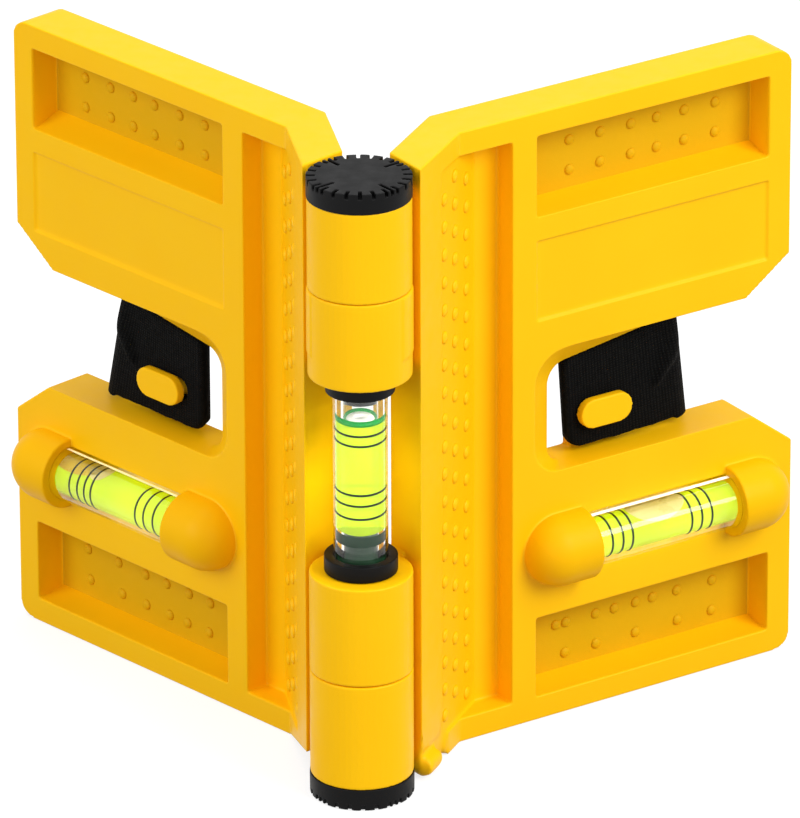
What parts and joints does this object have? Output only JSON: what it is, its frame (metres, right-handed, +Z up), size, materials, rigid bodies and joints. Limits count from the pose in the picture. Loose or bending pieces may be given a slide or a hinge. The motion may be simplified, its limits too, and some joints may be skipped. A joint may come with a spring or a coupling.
{
  "type": "post level",
  "caption": "Folding post level: C-shaped wings hinged on an upright column, spirit vials in the wings and the column, and an elastic strap that holds it to a post.",
  "frame": {"origin": "on the hinge axis, in the middle of the bottom cap's face", "axes": "+Z runs up the hinge axis, -Y points to the front, where the column is, and the wings reach back to +Y on the -X and +X sides"},
  "size_m": [0.1544, 0.1219, 0.128],
  "materials": {
    "yellow_plastic": "satin moulded yellow plastic",
    "black_plastic": "moulded black plastic",
    "clear_acrylic": "polished clear acrylic",
    "vial_liquid": "clear yellow-green liquid",
    "elastic_webbing": "woven black elastic"
  },
  "bodies": {
    "left_wing": {"left_wing": "yellow_plastic", "top_cap": "black_plastic", "bottom_cap": "black_plastic", "upper_hinge_pin": "black_plastic", "lower_hinge_pin": "black_plastic", "upper_collar": "black_plastic", "lower_collar": "black_plastic", "post_vial_tube": "clear_acrylic", "post_vial_liquid": "vial_liquid", "post_vial_upper_plug": "clear_acrylic", "post_vial_lower_plug": "black_plastic", "left_vial_tube": "clear_acrylic", "left_vial_liquid": "vial_liquid", "left_vial_plugs": "clear_acrylic", "left_vial_inner_cap": "yellow_plastic", "left_vial_outer_cap": "yellow_plastic", "left_strap_end": "elastic_webbing", "strap_loop": "elastic_webbing"},
    "right_wing": {"right_wing": "yellow_plastic", "right_vial_tube": "clear_acrylic", "right_vial_liquid": "vial_liquid", "right_vial_plugs": "clear_acrylic", "right_vial_inner_cap": "yellow_plastic", "right_vial_outer_cap": "yellow_plastic", "right_strap_end": "elastic_webbing"}
  },
  "joints": [
    {"name": "wing_hinge", "type": "hinge", "parent": "left_wing", "child": "right_wing", "pos_m": [0, 0, 0.064], "axis": [0, 0, 1], "range_deg": [-80, 30], "deforming": ["strap_loop"]}
  ]
}
